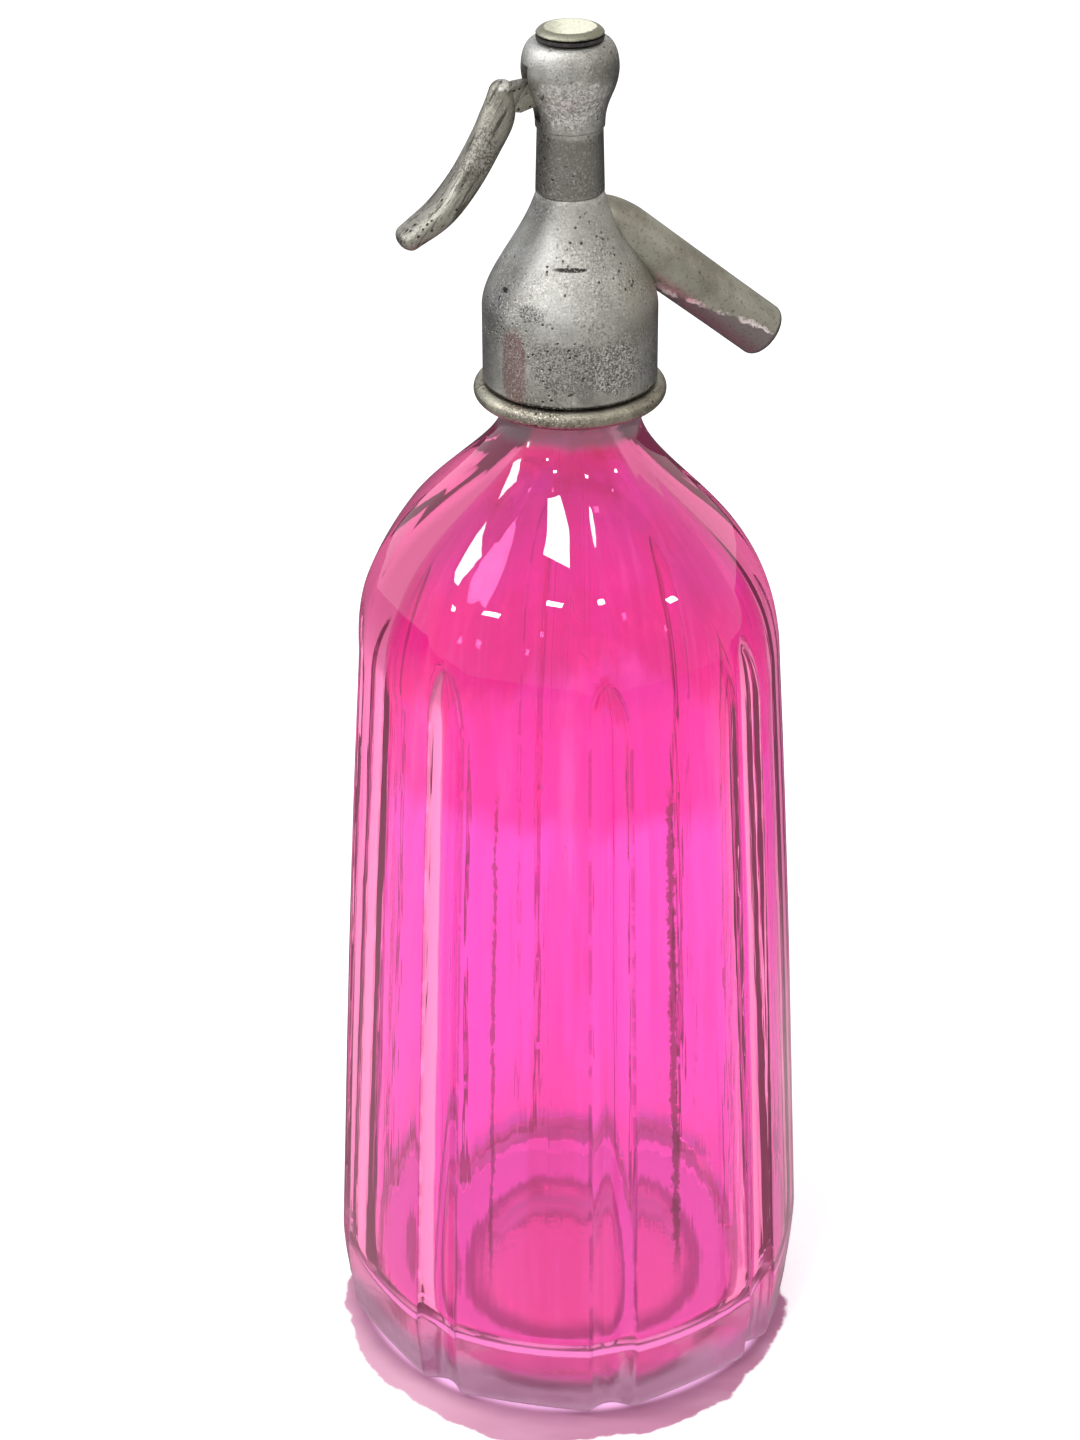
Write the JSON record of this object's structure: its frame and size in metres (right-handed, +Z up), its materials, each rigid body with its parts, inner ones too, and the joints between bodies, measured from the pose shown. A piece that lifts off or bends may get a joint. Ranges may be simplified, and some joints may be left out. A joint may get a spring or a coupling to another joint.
{
  "type": "soda siphon",
  "caption": "Soda siphon: tinted glass bottle with flat panels and narrow flutes, pewter valve head with thumb lever and down-turned spout.",
  "frame": {"origin": "centre of the bottle's foot, on the surface that it stands on", "axes": "+Z up along the bottle; -Y faces the viewer of the picture; the spout points to +X, 20 degrees towards +Y, and the lever points the other way"},
  "size_m": [0.1118, 0.1118, 0.32],
  "materials": {
    "tinted_glass": "thick pressed glass, clear outside and stained magenta inside",
    "clear_glass": "clear drawn glass tube",
    "worn_pewter": "worn, pitted pewter",
    "collar_metal": "dull pewter with an olive tone",
    "lever_metal": "worn dark pewter",
    "cap_metal": "pale worn metal",
    "valve_brass": "turned brass",
    "spring_steel": "drawn steel wire",
    "seal_rubber": "black rubber",
    "cork_packing": "waxed cord packing"
  },
  "bodies": {
    "siphon": {"bottle": "tinted_glass", "collar_half_front": "collar_metal", "collar_half_rear": "collar_metal", "collar_packing": "cork_packing", "neck_gasket": "seal_rubber", "tube_ferrule": "valve_brass", "tube_sleeve": "seal_rubber", "dip_tube": "clear_glass", "valve_seat": "valve_brass", "head_gasket": "seal_rubber", "head_body": "worn_pewter", "spout": "worn_pewter", "packing_cup": "seal_rubber", "packing_gland": "valve_brass", "valve_spring": "spring_steel", "cap_washer": "seal_rubber", "top_cap": "cap_metal", "lever_pin": "lever_metal"},
    "lever_arm": {"lever": "lever_metal"},
    "valve_stem": {"valve_rod": "valve_brass", "valve_disc_holder": "valve_brass", "valve_disc": "seal_rubber", "spring_washer": "valve_brass"}
  },
  "joints": [
    {"name": "lever_pivot", "type": "hinge", "parent": "siphon", "child": "lever_arm", "pos_m": [-0.00686, -0.0025, 0.3072], "axis": [0.342, -0.9397, 0], "range_deg": [0, 16.6], "stiffness_Nm_per_rad": 0.6, "springref_deg": -17.19},
    {"name": "valve_lift", "type": "slide", "parent": "siphon", "child": "valve_stem", "axis": [0, 0, 1], "range_m": [0, 0.00212], "deforming": ["valve_spring"]}
  ],
  "couplings": [
    {"joint": "valve_lift", "follows": "lever_pivot", "m_per_rad": 0.0073}
  ]
}
